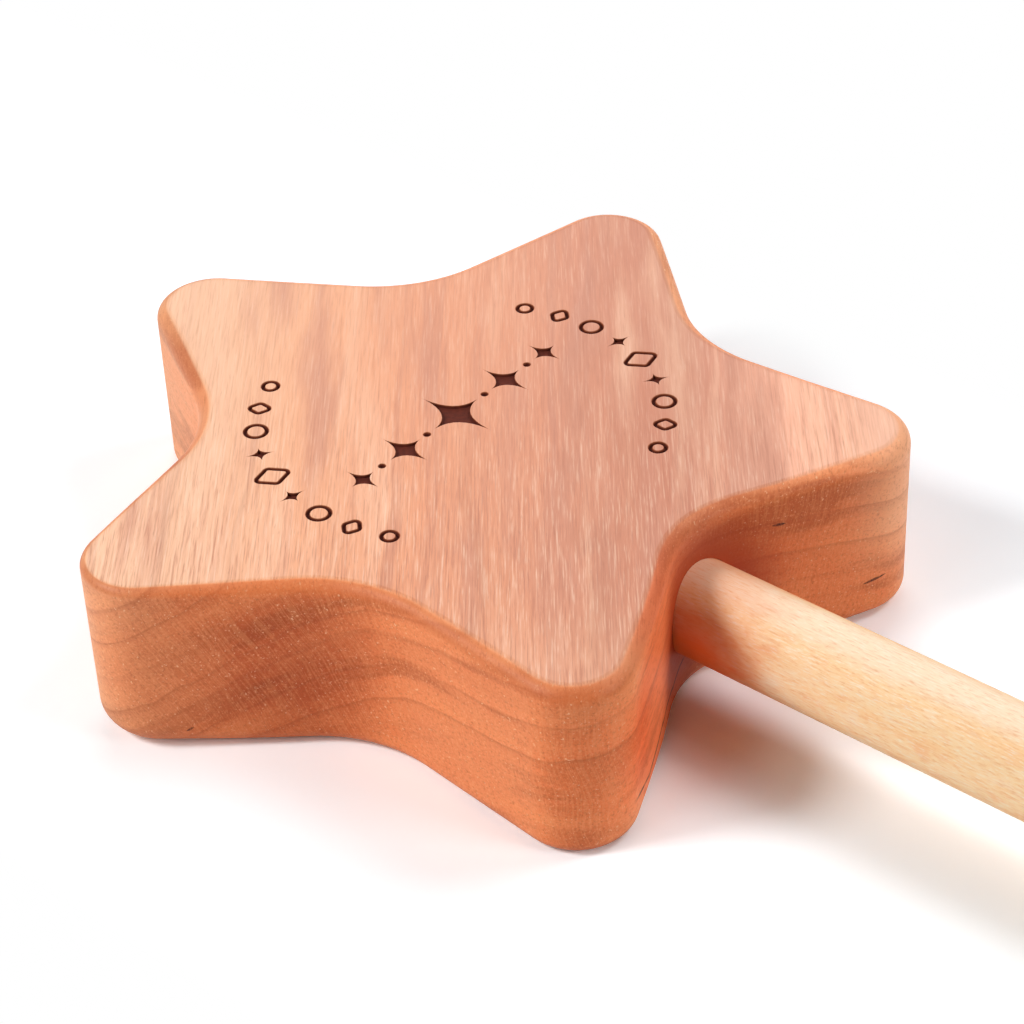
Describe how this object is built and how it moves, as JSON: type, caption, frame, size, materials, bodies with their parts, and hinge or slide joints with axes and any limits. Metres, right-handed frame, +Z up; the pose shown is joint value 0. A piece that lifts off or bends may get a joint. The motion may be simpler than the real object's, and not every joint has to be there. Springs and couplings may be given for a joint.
{
  "type": "toy magic wand",
  "caption": "Wooden toy wand: a thick star with rounded points and softened edges, glued onto the end of a plain round dowel handle.",
  "frame": {"origin": "centre of the star on its flat underside, which is the face the wand lies on", "axes": "+Z up through the board to the decorated face, +Y along the wand from the handle to the star's far point, so the dowel runs to -Y; +X completes the frame"},
  "size_m": [0.0796, 0.2721, 0.019],
  "materials": {
    "star_wood": "sanded cherry with a thin oil and wax finish",
    "dowel_wood": "sanded maple with a thin oil and wax finish",
    "wood_glue": "cured wood glue"
  },
  "bodies": {
    "root": {"star_head": "star_wood", "handle_dowel": "dowel_wood", "glue_film": "wood_glue"}
  },
  "joints": []
}
